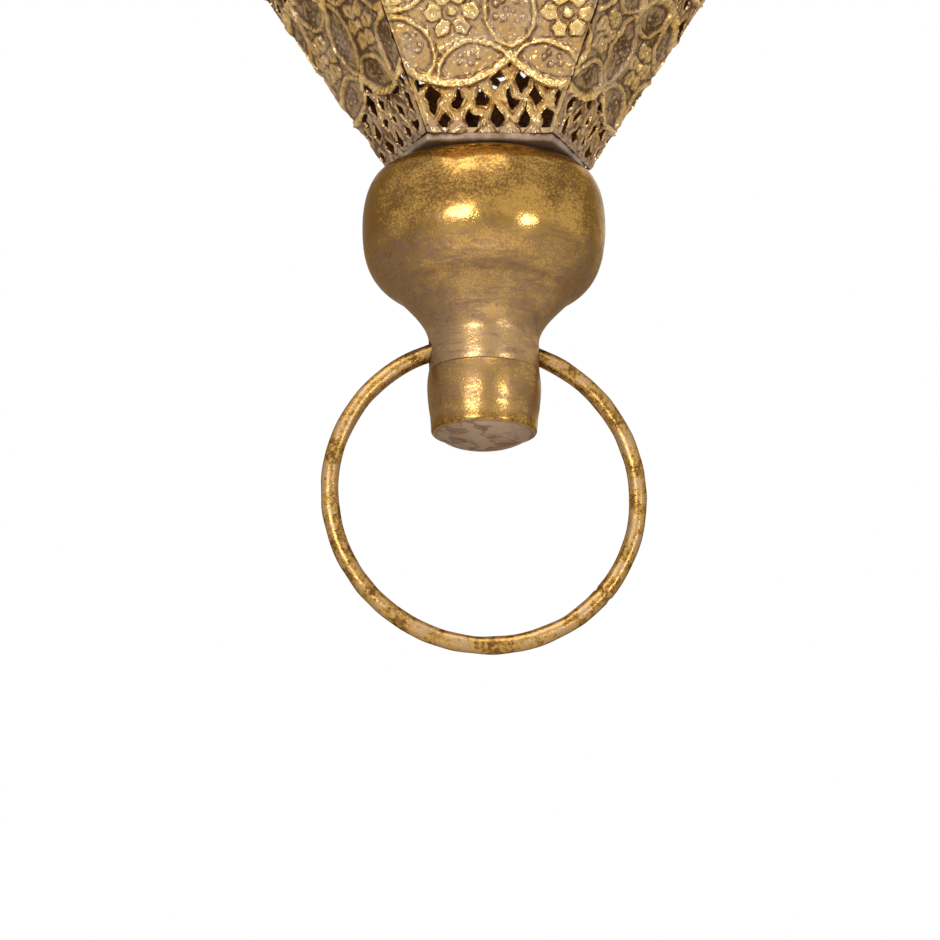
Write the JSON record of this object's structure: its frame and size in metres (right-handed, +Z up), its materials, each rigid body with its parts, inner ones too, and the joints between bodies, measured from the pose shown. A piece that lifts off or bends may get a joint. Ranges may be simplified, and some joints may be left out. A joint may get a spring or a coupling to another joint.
{
  "type": "hanging lantern",
  "caption": "Faceted pierced brass ceiling lantern on a chain and canopy, with a folding lamp door, a turned finial below and a pull ring that swings through the finial's neck.",
  "frame": {"origin": "centre of the ceiling plate's top face, on the ceiling", "axes": "+Z up, against the ceiling; the front lower panel faces -Y, +X to its right; the lantern hangs along -Z"},
  "size_m": [0.2306, 0.2193, 0.6668],
  "materials": {
    "antique_brass": "aged, mottled brown patina",
    "stamped_brass": "stamped sheet, dark in the recesses, worn bright on the ridges",
    "zinc_plated_steel": "plated",
    "contact_brass": "bright drawn sheet",
    "glazed_porcelain": "white glaze",
    "black_rubber": "matt",
    "frosted_glass": "frosted inside"
  },
  "bodies": {
    "ceiling": {"ceiling_plate": "zinc_plated_steel", "ceiling_stud": "zinc_plated_steel", "canopy": "antique_brass", "canopy_cable_bush": "black_rubber", "canopy_loop": "antique_brass"},
    "link_1": {"chain_link_1": "antique_brass"},
    "link_2": {"chain_link_2": "antique_brass"},
    "link_3": {"chain_link_3": "antique_brass"},
    "link_4": {"chain_link_4": "antique_brass"},
    "link_5": {"chain_link_5": "antique_brass"},
    "link_6": {"chain_link_6": "antique_brass"},
    "lamp": {"lamp_loop": "antique_brass", "crown": "antique_brass", "stem_tube": "zinc_plated_steel", "stem_nut": "zinc_plated_steel", "top_plate": "antique_brass", "upper_panel_front": "stamped_brass", "upper_panel_right": "stamped_brass", "upper_panel_back_left": "stamped_brass", "upper_panel_left": "stamped_brass", "belt": "antique_brass", "lower_panel_front": "stamped_brass", "lower_panel_right": "stamped_brass", "lower_panel_back_right": "stamped_brass", "lower_panel_back_left": "stamped_brass", "lower_panel_left": "stamped_brass", "base_plate": "antique_brass", "finial_rod": "zinc_plated_steel", "finial_nut_upper": "zinc_plated_steel", "finial_nut_lower": "zinc_plated_steel", "finial_bulb": "antique_brass", "finial_end_cap": "antique_brass", "holder_cap": "glazed_porcelain", "holder_body": "glazed_porcelain", "holder_centre_contact": "contact_brass", "holder_screw_shell": "contact_brass", "bulb_cap": "contact_brass", "bulb_glass": "frosted_glass", "hinge_bracket_left": "antique_brass", "hinge_bracket_right": "antique_brass", "hinge_pin": "zinc_plated_steel"},
    "door": {"door_panel": "stamped_brass", "door_hinge_leaf": "antique_brass", "door_knob": "antique_brass"},
    "ring": {"pull_ring": "antique_brass"}
  },
  "joints": [
    {"name": "link_1_swing", "type": "hinge", "parent": "ceiling", "child": "link_1", "pos_m": [0, 0, -0.0708], "axis": [1, 0, 0], "range_deg": [-25, 25]},
    {"name": "link_2_swing", "type": "hinge", "parent": "link_1", "child": "link_2", "pos_m": [0, 0, -0.0938], "axis": [0, 1, 0], "range_deg": [-25, 25]},
    {"name": "link_3_swing", "type": "hinge", "parent": "link_2", "child": "link_3", "pos_m": [0, 0, -0.1175], "axis": [1, 0, 0], "range_deg": [-25, 25]},
    {"name": "link_4_swing", "type": "hinge", "parent": "link_3", "child": "link_4", "pos_m": [0, 0, -0.1412], "axis": [0, 1, 0], "range_deg": [-25, 25]},
    {"name": "link_5_swing", "type": "hinge", "parent": "link_4", "child": "link_5", "pos_m": [0, 0, -0.1649], "axis": [1, 0, 0], "range_deg": [-25, 25]},
    {"name": "link_6_swing", "type": "hinge", "parent": "link_5", "child": "link_6", "pos_m": [0, 0, -0.1886], "axis": [0, 1, 0], "range_deg": [-25, 25]},
    {"name": "lamp_swing", "type": "hinge", "parent": "link_6", "child": "lamp", "pos_m": [0, 0, -0.2123], "axis": [1, 0, 0], "range_deg": [-25, 25]},
    {"name": "door_fold", "type": "hinge", "parent": "lamp", "child": "door", "pos_m": [0.05521, 0.07599, -0.38299], "axis": [-0.809, 0.5878, 0], "range_deg": [0, 150]},
    {"name": "ring_swing", "type": "hinge", "parent": "lamp", "child": "ring", "pos_m": [0, 0, -0.58307], "axis": [0.9936, 0.1132, 0], "range_deg": [-140, 140]}
  ]
}
